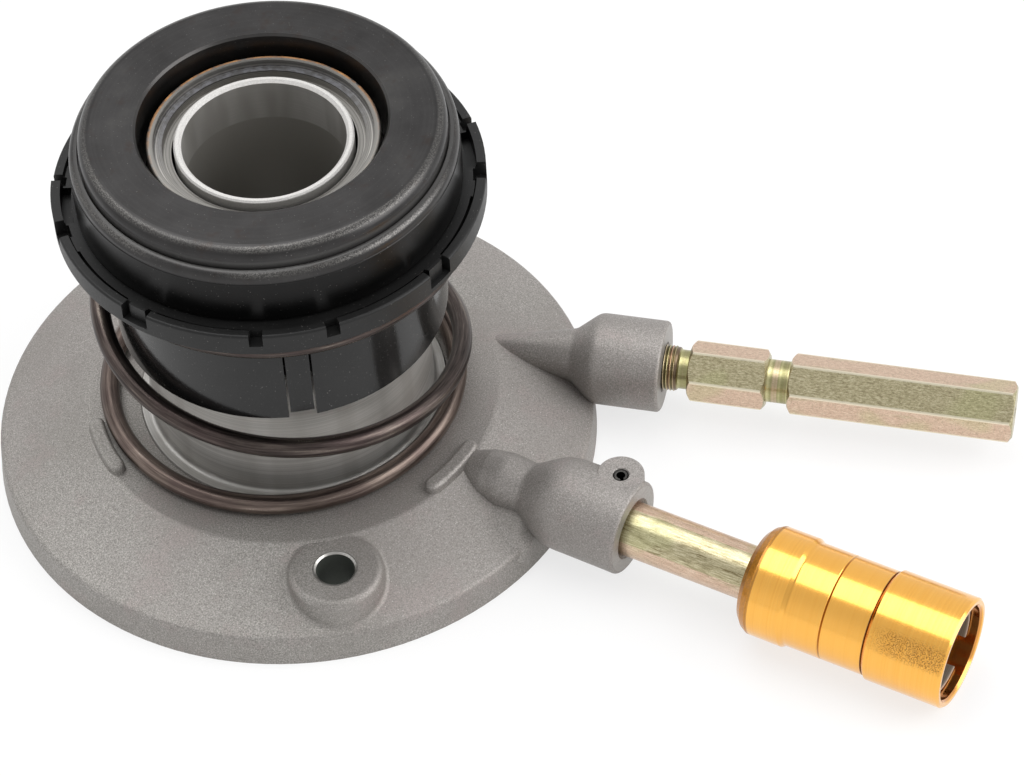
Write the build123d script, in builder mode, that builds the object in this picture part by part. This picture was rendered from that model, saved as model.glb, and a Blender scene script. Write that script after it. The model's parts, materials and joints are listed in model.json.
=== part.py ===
"""Concentric clutch slave cylinder, modelled as an assembly of separate pieces.

The origin is on the gearbox axis, in the plane of the mounting face. +Z is the axis, towards the
clutch. The two mounting holes lie on the Y axis. Millimetres throughout.
"""

from build123d import *
import math
import os

# Driving dimensions of the cast housing

BASE_RADIUS = 68.0
BASE_SIDE_RADIUS = 67.3  # top of the drafted side
BASE_SIDE_HEIGHT = 7.25
SEAT_RADIUS = 46.5  # flat seat of the return spring
SEAT_HEIGHT = 15.2
BAND_RADIUS = 34.4  # machined band round the foot of the cylinder
BAND_HEIGHT = 15.6
WALL_RADIUS = 31.8
BORE_RADIUS = 27.5
CYLINDER_TOP = 52.0
CHAMBER_FLOOR = 9.0
COUNTERBORE_RADIUS = 22.0  # recess under the base for the sleeve's collar
COUNTERBORE_DEPTH = 4.6

BOLT_OFFSET = 55.0
BOLT_HOLE_RADIUS = 4.25
BOSS_TOP = 15.05
BOSS_TOP_RADIUS = 10.3
BOSS_FOOT_RADIUS = 11.0
RIB_RADIUS = 45.1  # middle of the ribs round the spring
RIB_HALF_WIDTH = 1.7
RIB_TOP = 17.3

# Guide sleeve in the middle

SLEEVE_BORE = 17.5
SLEEVE_RADIUS = 19.15
SLEEVE_FOOT = 1.6
SLEEVE_TOP = 92.3
COLLAR_RADIUS = 21.95

# Piston and carrier, drawn at full reach

FIT = 0.05  # radial running clearance
SEAL_FOOT = 33.0
PISTON_FOOT = 39.0
BAND_LOW = 42.0  # groove of the slide band
BAND_HIGH = 46.6
PISTON_CROWN = 48.4
STOP_LOW = 48.6  # groove of the stop ring, near the mouth of the cylinder
STOP_HIGH = 49.9
PISTON_SHOULDER = 70.0
PISTON_TOP = 76.0
SPIGOT_RADIUS = 22.5
CARRIER_RADIUS = 24.8
CARRIER_BORE = 20.45
CARRIER_LIP = 19.75  # the top of the carrier comes in close to the guide sleeve
FLANGE_RADIUS = 38.5
FLANGE_LOW = 77.2
FLANGE_HIGH = 79.6

# Dust cover

RIM_RADIUS = 46.4
RIM_LOW = 75.0
RIM_HIGH = 80.4
RIM_INSIDE = 44.4
SLOT_RADIUS = 43.5  # inner edge of the slots beside the rim
SLOT_FLOOR = 77.5
BLOCK_TOP = 81.4
SKIRT_RADIUS = 36.4
SKIRT_BORE = 34.2
SKIRT_LOW = 44.5
SPRING_CEILING = 73.9
COVER_AZIMUTH = -92.5  # middle of the rim's repeated pattern

# Release bearing

THRUST_TOP = 97.4
THRUST_RADIUS = 39.0
THRUST_BORE = 26.6
OUTER_RING_RADIUS = 41.4
OUTER_RING_TOP = 93.0
BALL_RADIUS = 2.975
BALL_PITCH_RADIUS = 32.4
BALL_HEIGHT = 86.8
BALL_COUNT = 24
RACE_RADIUS = 3.05  # radius of the groove that a ball runs in

# Return spring, wound left-handed

SPRING_RADIUS = 39.4  # middle of the wire
WIRE_RADIUS = 2.2
SPRING_RISE = 38.9  # rise in one free turn
SPRING_START = 90.8  # azimuth where the lower closed coil ends

# Bleed port and supply port: direction, distance from the main axis and height of their axes

PORT_HEIGHT = 12.6
BLEED_AZIMUTH = -23.7
BLEED_OFFSET = 22.35
SUPPLY_AZIMUTH = -39.8
SUPPLY_OFFSET = -2.05
DRILL_RADIUS = 2.0

# Stations along the bleed axis

BLEED_FACE = 80.9
BLEED_BOSS_RADIUS = 10.4
BLEED_BORE = 5.0
THREAD_RADIUS = 4.93
HEX_START = 86.7
HEX_NECK_START = 104.4
HEX_NECK_END = 109.5
HEX_END = 160.1
HEX_ACROSS_FLATS = 12.0

# Stations along the supply axis

SUPPLY_FACE = 86.8
SUPPLY_BOSS_RADIUS = 10.65
TUBE_START = 66.0
TUBE_END = 121.0
TUBE_RADIUS = 6.1
TUBE_BORE = 2.2
TUBE_GROOVE_RADIUS = 4.4
SEAL_STATION = 70.5
PIN_STATION = 80.8
PIN_LATERAL = 6.24
PIN_RADIUS = 1.75
PIN_LOW = 5.0
PIN_HIGH = 20.9
EAR_RADIUS = 5.2
EAR_TOP = 21.2
COUPLING_START = 116.8
COUPLING_SPLIT = 146.3  # visible joint between the coupling's two halves
COUPLING_END = 164.6
COUPLING_BACK_RADIUS = 12.38
COUPLING_WAIST_RADIUS = 11.78
COUPLING_NOSE_RADIUS = 12.42
SPIGOT_END = 152.0
VALVE_SEAT = 135.87

os.makedirs("parts", exist_ok=True)


def port_frame(azimuth, offset):
    """A plane across a port: Z along the port, away from the centre, X level and Y upwards."""
    turn = math.radians(azimuth)
    along = Vector(math.cos(turn), math.sin(turn), 0)
    across = Vector(-math.sin(turn), math.cos(turn), 0)
    return Plane(origin=across * offset + Vector(0, 0, PORT_HEIGHT), x_dir=across, z_dir=along)


def half_plane(base, angle):
    """The plane through the axis of base, at an angle round it: X outwards and Y along the axis."""
    turn = math.radians(angle)
    outwards = base.x_dir * math.cos(turn) + base.y_dir * math.sin(turn)
    return Plane(origin=base.origin, x_dir=outwards, z_dir=outwards.cross(base.z_dir))


def turned(points, base=Plane.XY, rounds=(), start=0, arc=360, mode=Mode.ADD):
    """Turns a closed outline of (radius, station) points round the axis of base.

    rounds lists a point of the outline and the radius of the corner there.
    """
    with BuildSketch(half_plane(base, start)) as profile:
        with BuildLine():
            Polyline(*points, close=True)
        make_face()
        for corner, radius in rounds:
            fillet(profile.vertices().sort_by_distance((*corner, 0))[0], radius=radius)
    revolve(profile.sketch, axis=Axis(base.origin, base.z_dir), revolution_arc=arc, mode=mode)


def sector(inner, outer, low, high, centre, width, base=Plane.XY, mode=Mode.SUBTRACT):
    """A piece of a ring between two radii and two stations, width degrees wide round centre."""
    corners = ((inner, low), (outer, low), (outer, high), (inner, high))
    turned(corners, base, start=centre - width / 2, arc=width, mode=mode)


def upright(offset):
    """A level plane with its origin on the vertical axis through a bolt boss."""
    return Plane(origin=(0, offset, 0))


BLEED = port_frame(BLEED_AZIMUTH, BLEED_OFFSET)
SUPPLY = port_frame(SUPPLY_AZIMUTH, SUPPLY_OFFSET)
PIN_AXIS = Plane(origin=SUPPLY.origin + SUPPLY.z_dir * PIN_STATION + SUPPLY.x_dir * PIN_LATERAL)
PIN_AXIS.origin = Vector(PIN_AXIS.origin.X, PIN_AXIS.origin.Y, 0)

# Housing, cast in one piece

with BuildPart() as housing:
    pocket_top = (37.5, 6.0)
    pocket_side = (56.0, 4.2)
    wall_foot = (WALL_RADIUS, BAND_HEIGHT)
    seat_edge = (SEAT_RADIUS, SEAT_HEIGHT)
    side_top = (BASE_SIDE_RADIUS, BASE_SIDE_HEIGHT)
    turned(
        (
            (SLEEVE_RADIUS + FIT, COUNTERBORE_DEPTH),
            (COUNTERBORE_RADIUS, COUNTERBORE_DEPTH),
            (COUNTERBORE_RADIUS, 0),
            (36.0, 0),
            pocket_top,
            pocket_side,
            (58.5, 0),
            (BASE_RADIUS, 0),
            side_top,
            seat_edge,
            (BAND_RADIUS + 0.3, SEAT_HEIGHT),
            (BAND_RADIUS, BAND_HEIGHT),
            wall_foot,
            (WALL_RADIUS, CYLINDER_TOP - 0.6),
            (WALL_RADIUS - 0.6, CYLINDER_TOP),
            (BORE_RADIUS + 0.8, CYLINDER_TOP),
            (BORE_RADIUS, CYLINDER_TOP - 1.0),
            (BORE_RADIUS, CHAMBER_FLOOR),
            (SLEEVE_RADIUS + FIT, CHAMBER_FLOOR),
        ),
        rounds=((pocket_top, 1.5), (pocket_side, 1.5), (wall_foot, 1.2), (seat_edge, 2.5), (side_top, 1.5)),
    )
    # Bolt bosses, which stand on the base and reach down to the mounting face
    for side in (-1, 1):
        turned(
            (
                (0, 0),
                (BOSS_FOOT_RADIUS, 0),
                (BOSS_FOOT_RADIUS, 6.0),
                (BOSS_TOP_RADIUS, BOSS_TOP),
                (0, BOSS_TOP),
            ),
            upright(side * BOLT_OFFSET),
            rounds=(((BOSS_TOP_RADIUS, BOSS_TOP), 1.5),),
        )
    boss_feet = []
    for edge in housing.edges().filter_by(GeomType.BSPLINE):
        middle = edge @ 0.5
        reach = math.hypot(middle.X, abs(middle.Y) - BOLT_OFFSET)
        if reach < BOSS_FOOT_RADIUS + 1 and BASE_SIDE_HEIGHT < middle.Z < BOSS_TOP:
            boss_feet.append(edge)
    fillet(boss_feet, radius=1.2)
    # Bleed boss: a ridge that leaves the seat's edge, then a waist and the round boss
    bleed_waist = (6.15, 60.0)
    bleed_shoulder = (BLEED_BOSS_RADIUS, 65.2)
    turned(
        (
            (0, 40.0),
            (2.0, 40.0),
            bleed_waist,
            bleed_shoulder,
            (BLEED_BOSS_RADIUS, BLEED_FACE),
            (0, BLEED_FACE),
        ),
        BLEED,
        rounds=((bleed_waist, 2.5), (bleed_shoulder, 3.5), ((BLEED_BOSS_RADIUS, BLEED_FACE), 0.8)),
    )
    # Supply boss: a low swell of the base, a ridge, a waist, the round boss and the ear for the spring pin
    swell_axis = Plane(
        origin=SUPPLY.origin - SUPPLY.x_dir * 3.0 - Vector(0, 0, PORT_HEIGHT + 8.0),
        x_dir=SUPPLY.x_dir,
        z_dir=SUPPLY.z_dir,
    )
    swell_end = (19.0, 63.5)
    turned(
        ((17.8, 46.0), (20.4, 46.0), swell_end, (17.0, 66.6), (13.0, 66.6), (13.0, 60.0), (17.8, 60.0)),
        swell_axis,
        rounds=((swell_end, 5.0),),
        start=50,
        arc=80,
    )
    supply_crest = (6.5, 55.5)
    supply_waist = (6.0, 61.2)
    supply_shoulder = (SUPPLY_BOSS_RADIUS - 0.2, 68.3)
    turned(
        (
            (0, 44.8),
            (3.4, 44.8),
            (5.8, 51.0),
            supply_crest,
            supply_waist,
            supply_shoulder,
            (SUPPLY_BOSS_RADIUS, SUPPLY_FACE),
            (0, SUPPLY_FACE),
        ),
        SUPPLY,
        rounds=(
            (supply_crest, 6.0),
            (supply_waist, 2.0),
            (supply_shoulder, 11.0),
            ((SUPPLY_BOSS_RADIUS, SUPPLY_FACE), 0.8),
        ),
    )
    turned(
        ((0, 4.5), (EAR_RADIUS, 4.5), (EAR_RADIUS, EAR_TOP), (0, EAR_TOP)),
        PIN_AXIS,
        rounds=(((EAR_RADIUS, 4.5), 1.5),),
    )
    turned(((0, EAR_TOP), (EAR_RADIUS, EAR_TOP), (EAR_RADIUS, 25.0), (0, 25.0)), PIN_AXIS, mode=Mode.SUBTRACT)
    # Low ribs with round ends, which keep the spring's lowest coil in place
    for rib_azimuth in (-168.2, -48.0, 72.0):
        rib_sides = (RIB_RADIUS - RIB_HALF_WIDTH, RIB_RADIUS + RIB_HALF_WIDTH)
        turned(
            (
                (rib_sides[0] - 0.2, 12.0),
                (rib_sides[1] + 0.5, 12.0),
                (rib_sides[1], RIB_TOP),
                (rib_sides[0], RIB_TOP),
            ),
            start=rib_azimuth - 8.5,
            arc=17.0,
            rounds=(((rib_sides[1], RIB_TOP), 0.9), ((rib_sides[0], RIB_TOP), 0.9)),
        )
        for end in (-8.5, 8.5):
            turn = math.radians(rib_azimuth + end)
            turned(
                (
                    (0, 12.0),
                    (RIB_HALF_WIDTH + 0.3, 12.0),
                    (RIB_HALF_WIDTH, RIB_TOP),
                    (0, RIB_TOP),
                ),
                Plane(origin=(RIB_RADIUS * math.cos(turn), RIB_RADIUS * math.sin(turn), 0)),
                rounds=(((RIB_HALF_WIDTH, RIB_TOP), 0.9),),
            )
    # Machined features: bolt holes, ring grooves, ports and the pin's hole
    for side in (-1, 1):
        turned(
            (
                (0, -1.0),
                (BOLT_HOLE_RADIUS + 1.4, -1.0),
                (BOLT_HOLE_RADIUS, 0.4),
                (BOLT_HOLE_RADIUS, BOSS_TOP - 0.4),
                (BOLT_HOLE_RADIUS + 1.4, BOSS_TOP + 1.0),
                (0, BOSS_TOP + 1.0),
            ),
            upright(side * BOLT_OFFSET),
            mode=Mode.SUBTRACT,
        )
    turned(((19.0, 5.6), (21.2, 5.6), (21.2, 7.8), (19.0, 7.8)), mode=Mode.SUBTRACT)
    turned(((21.0, 0.5), (23.3, 0.5), (23.3, SLEEVE_FOOT), (21.0, SLEEVE_FOOT)), mode=Mode.SUBTRACT)
    turned(((27.0, STOP_LOW), (28.6, STOP_LOW), (28.6, STOP_HIGH), (27.0, STOP_HIGH)), mode=Mode.SUBTRACT)
    turned(
        (
            (0, 10.0),
            (DRILL_RADIUS, 10.0),
            (DRILL_RADIUS, 64.0),
            (BLEED_BORE, 67.0),
            (BLEED_BORE, BLEED_FACE - 0.8),
            (BLEED_BORE + 1.2, BLEED_FACE + 0.4),
            (0, BLEED_FACE + 0.4),
        ),
        BLEED,
        mode=Mode.SUBTRACT,
    )
    turned(
        (
            (0, 20.0),
            (DRILL_RADIUS, 20.0),
            (DRILL_RADIUS, TUBE_START),
            (TUBE_RADIUS + FIT, TUBE_START),
            (TUBE_RADIUS + FIT, SUPPLY_FACE - 1.0),
            (TUBE_RADIUS + FIT + 1.4, SUPPLY_FACE + 0.4),
            (0, SUPPLY_FACE + 0.4),
        ),
        SUPPLY,
        mode=Mode.SUBTRACT,
    )
    turned(
        (
            (0, PIN_LOW),
            (PIN_RADIUS, PIN_LOW),
            (PIN_RADIUS, EAR_TOP - 0.2),
            (PIN_RADIUS + 0.6, EAR_TOP + 0.4),
            (0, EAR_TOP + 0.4),
        ),
        PIN_AXIS,
        mode=Mode.SUBTRACT,
    )
housing.part.label = "housing"

# Guide sleeve with its collar, the ring that holds it, and the stop ring in the mouth of the cylinder

with BuildPart() as guide_sleeve:
    turned(
        (
            (SLEEVE_BORE, SLEEVE_FOOT),
            (COLLAR_RADIUS, SLEEVE_FOOT),
            (COLLAR_RADIUS, COUNTERBORE_DEPTH),
            (SLEEVE_RADIUS, COUNTERBORE_DEPTH),
            (SLEEVE_RADIUS, SLEEVE_TOP - 0.35),
            (SLEEVE_RADIUS - 0.35, SLEEVE_TOP),
            (SLEEVE_BORE + 0.6, SLEEVE_TOP),
            (SLEEVE_BORE, SLEEVE_TOP - 0.6),
        )
    )
guide_sleeve.part.label = "guide_sleeve"

with BuildPart() as sleeve_o_ring:
    with BuildSketch(Plane.XZ):
        with Locations((SLEEVE_RADIUS + 1.02, 6.7)):
            Circle(1.0)
    revolve(axis=Axis.Z)
sleeve_o_ring.part.label = "sleeve_o_ring"

with BuildPart() as sleeve_snap_ring:
    with BuildSketch(Plane.XY.offset(0.6)):
        Circle(23.2)
        Circle(21.3, mode=Mode.SUBTRACT)
        # Eyes for the pliers, either side of the gap
        with PolarLocations(20.6, 2, start_angle=81, angular_range=18, endpoint=True):
            Circle(1.9)
        with Locations((0, 22.0)):
            Rectangle(2.4, 6.0, mode=Mode.SUBTRACT)
        with PolarLocations(20.6, 2, start_angle=81, angular_range=18, endpoint=True):
            Circle(0.8, mode=Mode.SUBTRACT)
    extrude(amount=1.0)
sleeve_snap_ring.part.label = "sleeve_snap_ring"

with BuildPart() as stop_ring:
    with BuildSketch(Plane.XY.offset(STOP_LOW + 0.05)):
        Circle(28.5)
        Circle(25.6, mode=Mode.SUBTRACT)
        with Locations((0, 27.0)):
            Rectangle(5.0, 4.0, mode=Mode.SUBTRACT)
    extrude(amount=1.2)
stop_ring.part.label = "stop_ring"

# Piston with its seal, slide band and wiper

with BuildPart() as piston:
    crown = BORE_RADIUS - 0.06
    turned(
        (
            (SLEEVE_RADIUS + 0.06, PISTON_FOOT),
            (crown, PISTON_FOOT),
            (crown, BAND_LOW),
            (26.6, BAND_LOW),
            (26.6, BAND_HIGH),
            (crown, BAND_HIGH),
            (crown, PISTON_CROWN - 0.4),
            (crown - 0.4, PISTON_CROWN),
            (24.0, PISTON_CROWN),
            (24.0, PISTON_SHOULDER),
            (SPIGOT_RADIUS, PISTON_SHOULDER),
            (SPIGOT_RADIUS, 71.6),
            (21.75, 71.6),
            (21.75, 72.9),
            (SPIGOT_RADIUS, 72.9),
            (SPIGOT_RADIUS, PISTON_TOP - 0.5),
            (SPIGOT_RADIUS - 0.5, PISTON_TOP),
            (20.9, PISTON_TOP),
            (20.9, 74.2),
            (SLEEVE_RADIUS + 0.06, 74.2),
        )
    )
piston.part.label = "piston"

with BuildPart() as piston_seal:
    turned(
        (
            (SLEEVE_RADIUS + FIT, SEAL_FOOT),
            (20.2, SEAL_FOOT),
            (21.6, 36.5),
            (25.0, 36.5),
            (26.4, SEAL_FOOT),
            (BORE_RADIUS - FIT, SEAL_FOOT),
            (27.2, 36.5),
            (27.2, PISTON_FOOT),
            (19.45, PISTON_FOOT),
            (19.45, 36.5),
        )
    )
piston_seal.part.label = "piston_seal"

with BuildPart() as piston_guide_ring:
    band_sides = (BAND_LOW + 0.1, BAND_HIGH - 0.1)
    turned(((26.6, band_sides[0]), (27.46, band_sides[0]), (27.46, band_sides[1]), (26.6, band_sides[1])))
    # The slanted split that lets it spring over the piston
    with BuildSketch(Plane.XZ.offset(-24.0)):
        with Locations(Location((0, (BAND_LOW + BAND_HIGH) / 2), 30)):
            Rectangle(0.8, 12.0)
    extrude(amount=-6.0, mode=Mode.SUBTRACT)
piston_guide_ring.part.label = "piston_guide_ring"

with BuildPart() as piston_wiper:
    turned(
        (
            (19.6, 74.2),
            (20.88, 74.2),
            (20.88, 75.6),
            (19.9, 75.6),
            (SLEEVE_RADIUS + FIT, PISTON_TOP),
            (SLEEVE_RADIUS + FIT, 75.4),
            (19.6, 75.0),
        )
    )
piston_wiper.part.label = "piston_wiper"

# Carrier sleeve, which joins the piston to the cover and the bearing

with BuildPart() as carrier_sleeve:
    turned(
        (
            (CARRIER_BORE, PISTON_TOP),
            (SPIGOT_RADIUS + FIT, PISTON_TOP),
            (SPIGOT_RADIUS + FIT, 72.9),
            (23.2, 72.9),
            (23.2, 71.6),
            (SPIGOT_RADIUS + FIT, 71.6),
            (SPIGOT_RADIUS + FIT, PISTON_SHOULDER),
            (CARRIER_RADIUS, PISTON_SHOULDER),
            (CARRIER_RADIUS, FLANGE_LOW),
            (FLANGE_RADIUS, FLANGE_LOW),
            (FLANGE_RADIUS, FLANGE_HIGH),
            (CARRIER_RADIUS, FLANGE_HIGH),
            (CARRIER_RADIUS, 93.0),
            (23.4, 93.0),
            (23.4, 91.6),
            (21.6, 91.6),
            (21.6, 90.0),
            (CARRIER_LIP, 90.0),
            (CARRIER_LIP, 88.6),
            (CARRIER_BORE, 88.6),
        ),
        rounds=(((CARRIER_RADIUS, FLANGE_HIGH), 0.9), ((CARRIER_RADIUS, 93.0), 0.4)),
    )
carrier_sleeve.part.label = "carrier_sleeve"

with BuildPart() as carrier_snap_ring:
    with BuildSketch(Plane.XY.offset(71.6)):
        Circle(23.1)
        Circle(21.75, mode=Mode.SUBTRACT)
        with Locations((0, 22.4)):
            Rectangle(3.0, 4.0, mode=Mode.SUBTRACT)
    extrude(amount=1.25)
carrier_snap_ring.part.label = "carrier_snap_ring"

# Dust cover: spring seat, slotted rim and skirt

with BuildPart() as dust_cover:
    turned(
        (
            (25.0, 75.0),
            (33.4, 75.0),
            (SKIRT_BORE, 74.2),
            (SKIRT_BORE, SKIRT_LOW),
            (SKIRT_RADIUS, SKIRT_LOW),
            (SKIRT_RADIUS, SPRING_CEILING),
            (44.6, SPRING_CEILING),
            (45.4, RIM_LOW),
            (RIM_RADIUS, RIM_LOW),
            (RIM_RADIUS, RIM_HIGH),
            (RIM_INSIDE, RIM_HIGH),
            (RIM_INSIDE - 0.4, FLANGE_HIGH),
            (FLANGE_RADIUS + 0.2, FLANGE_HIGH),
            (FLANGE_RADIUS + 0.2, FLANGE_LOW),
            (25.0, FLANGE_LOW),
        ),
        rounds=(((RIM_RADIUS, RIM_HIGH), 0.6), ((RIM_RADIUS, RIM_LOW), 0.5)),
    )
    clear_radius = RIM_RADIUS + 2.0
    clear_height = BLOCK_TOP + 1.0
    for side in (-1, 1):
        # A raised block with a pocket behind it, a notch at each end and a slit right through the front notch
        block = COVER_AZIMUTH + side * 91.4
        front_notch = COVER_AZIMUTH + side * 81.2
        rear_notch = COVER_AZIMUTH + side * 101.0
        sector(RIM_INSIDE, RIM_RADIUS, 79.0, BLOCK_TOP, block, 15.6, mode=Mode.ADD)
        sector(42.2, RIM_INSIDE, SLOT_FLOOR, clear_height, block, 14.4)
        sector(SLOT_RADIUS, clear_radius, SLOT_FLOOR, clear_height, front_notch, 4.8)
        sector(SLOT_RADIUS, clear_radius, SLOT_FLOOR, clear_height, rear_notch, 3.6)
        sector(SLOT_RADIUS, SLOT_RADIUS + 0.5, SPRING_CEILING - 1.0, clear_height, front_notch, 4.4)
    for half in (0, 180):
        middle = COVER_AZIMUTH + half
        for side in (-1, 1):
            # A notch, an arc slot, a stepped recess and a second arc slot
            sector(SLOT_RADIUS, clear_radius, SLOT_FLOOR, clear_height, middle + side * 10.0, 3.6)
            sector(SLOT_RADIUS, RIM_INSIDE, SLOT_FLOOR, clear_height, middle + side * 26.8, 29.6)
            sector(45.1, clear_radius, 76.6, clear_height, middle + side * 43.8, 8.0)
            for end in (40.5, 47.1):
                sector(RIM_INSIDE, clear_radius, 76.6, clear_height, middle + side * end, 1.4)
            sector(SLOT_RADIUS, RIM_INSIDE, SLOT_FLOOR, clear_height, middle + side * 60.6, 24.0)
        # A clip finger between two narrow slits of the skirt, set back and shorter than the wall beside it
        finger = middle + 0.25
        for side in (-1, 1):
            sector(SKIRT_BORE - 1, SKIRT_RADIUS + 1, SKIRT_LOW - 1, 70.0, finger + side * 4.4, 0.7)
        sector(SKIRT_RADIUS - 0.25, SKIRT_RADIUS + 1, SKIRT_LOW - 1, 69.0, finger, 8.6)
        sector(SKIRT_BORE - 1, SKIRT_RADIUS + 1, SKIRT_LOW - 1, SKIRT_LOW + 1.3, finger, 8.6)
dust_cover.part.label = "dust_cover"

# Release bearing: two rings, the balls between them, their cage and the shield below

with BuildPart() as bearing_outer_ring:
    outer_shoulder = (OUTER_RING_RADIUS - 0.15, OUTER_RING_TOP)
    turned(
        (
            (35.4, FLANGE_HIGH),
            (OUTER_RING_RADIUS - 0.6, FLANGE_HIGH),
            (OUTER_RING_RADIUS, FLANGE_HIGH + 0.6),
            (OUTER_RING_RADIUS, 90.3),
            (OUTER_RING_RADIUS - 0.15, 90.45),
            outer_shoulder,
            (39.4, OUTER_RING_TOP),
            (39.4, 91.2),
            (34.4, 91.2),
            (34.4, 81.4),
            (35.4, 81.4),
        ),
        rounds=((outer_shoulder, 1.8),),
    )
    with BuildSketch(Plane.XZ):
        with Locations((BALL_PITCH_RADIUS, BALL_HEIGHT)):
            Circle(RACE_RADIUS)
    revolve(axis=Axis.Z, mode=Mode.SUBTRACT)
bearing_outer_ring.part.label = "bearing_outer_ring"

with BuildPart() as thrust_ring:
    worn_shoulder = (THRUST_RADIUS, THRUST_TOP)
    turned(
        (
            (THRUST_BORE, 82.2),
            (30.4, 82.2),
            (30.4, 92.6),
            (36.8, 92.6),
            (36.8, 91.6),
            (THRUST_RADIUS, 91.6),
            worn_shoulder,
            (THRUST_BORE + 0.5, THRUST_TOP),
            (THRUST_BORE, THRUST_TOP - 0.5),
        ),
        rounds=((worn_shoulder, 2.6),),
    )
    with BuildSketch(Plane.XZ):
        with Locations((BALL_PITCH_RADIUS, BALL_HEIGHT)):
            Circle(RACE_RADIUS)
    revolve(axis=Axis.Z, mode=Mode.SUBTRACT)
thrust_ring.part.label = "thrust_ring"

with BuildPart() as bearing_balls:
    with Locations((0, 0, BALL_HEIGHT)):
        with PolarLocations(BALL_PITCH_RADIUS, BALL_COUNT):
            Sphere(BALL_RADIUS)
bearing_balls.part.label = "bearing_balls"

with BuildPart() as ball_cage:
    turned(((30.8, 82.9), (34.0, 82.9), (34.0, 90.7), (30.8, 90.7)))
    with Locations((0, 0, BALL_HEIGHT)):
        with PolarLocations(BALL_PITCH_RADIUS, BALL_COUNT):
            # Each pocket is bored outwards through the cage
            Cylinder(BALL_RADIUS + 0.025, 10.0, rotation=(0, 90, 0), mode=Mode.SUBTRACT)
ball_cage.part.label = "ball_cage"

with BuildPart() as bearing_shield:
    turned(((27.2, 80.6), (35.4, 80.6), (35.4, 81.4), (27.2, 81.4)))
bearing_shield.part.label = "bearing_shield"

# Return spring: a closed coil at each end and the free turns between them

with BuildPart() as return_spring:
    lower_coil = SEAT_HEIGHT + WIRE_RADIUS
    upper_coil = SPRING_CEILING - WIRE_RADIUS
    free_height = upper_coil - lower_coil
    free_angle = free_height / SPRING_RISE * 360
    free_start = half_plane(Plane.XY, SPRING_START)
    free_end = half_plane(Plane.XY, SPRING_START - free_angle)
    with BuildSketch(free_start):
        with Locations((SPRING_RADIUS, lower_coil)):
            Circle(WIRE_RADIUS)
    revolve(axis=Axis.Z, revolution_arc=295)
    with BuildSketch(free_end):
        with Locations((SPRING_RADIUS, upper_coil)):
            Circle(WIRE_RADIUS)
    revolve(axis=Axis.Z, revolution_arc=-295)
    wire_path = Helix(pitch=SPRING_RISE, height=free_height, radius=SPRING_RADIUS, lefthand=True)
    wire_path = wire_path.rotate(Axis.Z, SPRING_START).translate((0, 0, lower_coil))
    with BuildSketch(Plane(origin=wire_path @ 0, z_dir=wire_path % 0)):
        Circle(WIRE_RADIUS)
    sweep(path=wire_path)
    for end in (0, 1):
        with Locations(wire_path @ end):
            Sphere(WIRE_RADIUS)
return_spring.part.label = "return_spring"

# Supply tube, its seal and the pin that locks it

with BuildPart() as supply_tube:
    turned(
        (
            (TUBE_BORE, TUBE_START),
            (TUBE_RADIUS - 0.7, TUBE_START),
            (TUBE_RADIUS, TUBE_START + 0.7),
            (TUBE_RADIUS, SEAL_STATION - 1.3),
            (TUBE_GROOVE_RADIUS, SEAL_STATION - 1.3),
            (TUBE_GROOVE_RADIUS, SEAL_STATION + 1.3),
            (TUBE_RADIUS, SEAL_STATION + 1.3),
            (TUBE_RADIUS, PIN_STATION - 1.8),
            (TUBE_GROOVE_RADIUS, PIN_STATION - 1.8),
            (TUBE_GROOVE_RADIUS, PIN_STATION + 1.8),
            (TUBE_RADIUS, PIN_STATION + 1.8),
            (TUBE_RADIUS, TUBE_END),
            (TUBE_BORE, TUBE_END),
        ),
        SUPPLY,
    )
supply_tube.part.label = "supply_tube"

with BuildPart() as tube_o_ring:
    with BuildSketch(half_plane(SUPPLY, 0)):
        with Locations((TUBE_GROOVE_RADIUS + 0.88, SEAL_STATION)):
            Circle(0.86)
    revolve(axis=Axis(SUPPLY.origin, SUPPLY.z_dir))
tube_o_ring.part.label = "tube_o_ring"

with BuildPart() as spring_pin:
    turned(
        (
            (1.0, PIN_LOW),
            (PIN_RADIUS - 0.3, PIN_LOW),
            (PIN_RADIUS - 0.01, PIN_LOW + 0.6),
            (PIN_RADIUS - 0.01, PIN_HIGH - 0.6),
            (PIN_RADIUS - 0.3, PIN_HIGH),
            (1.0, PIN_HIGH),
        ),
        PIN_AXIS,
    )
    # The slot along its whole length
    with BuildSketch(PIN_AXIS.offset(PIN_LOW)):
        with Locations((0, -PIN_RADIUS)):
            Rectangle(0.8, 2 * PIN_RADIUS)
    extrude(amount=PIN_HIGH - PIN_LOW, mode=Mode.SUBTRACT)
spring_pin.part.label = "spring_pin"

# Quick coupling: rear half, front half, clip, seal, valve and valve spring

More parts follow.
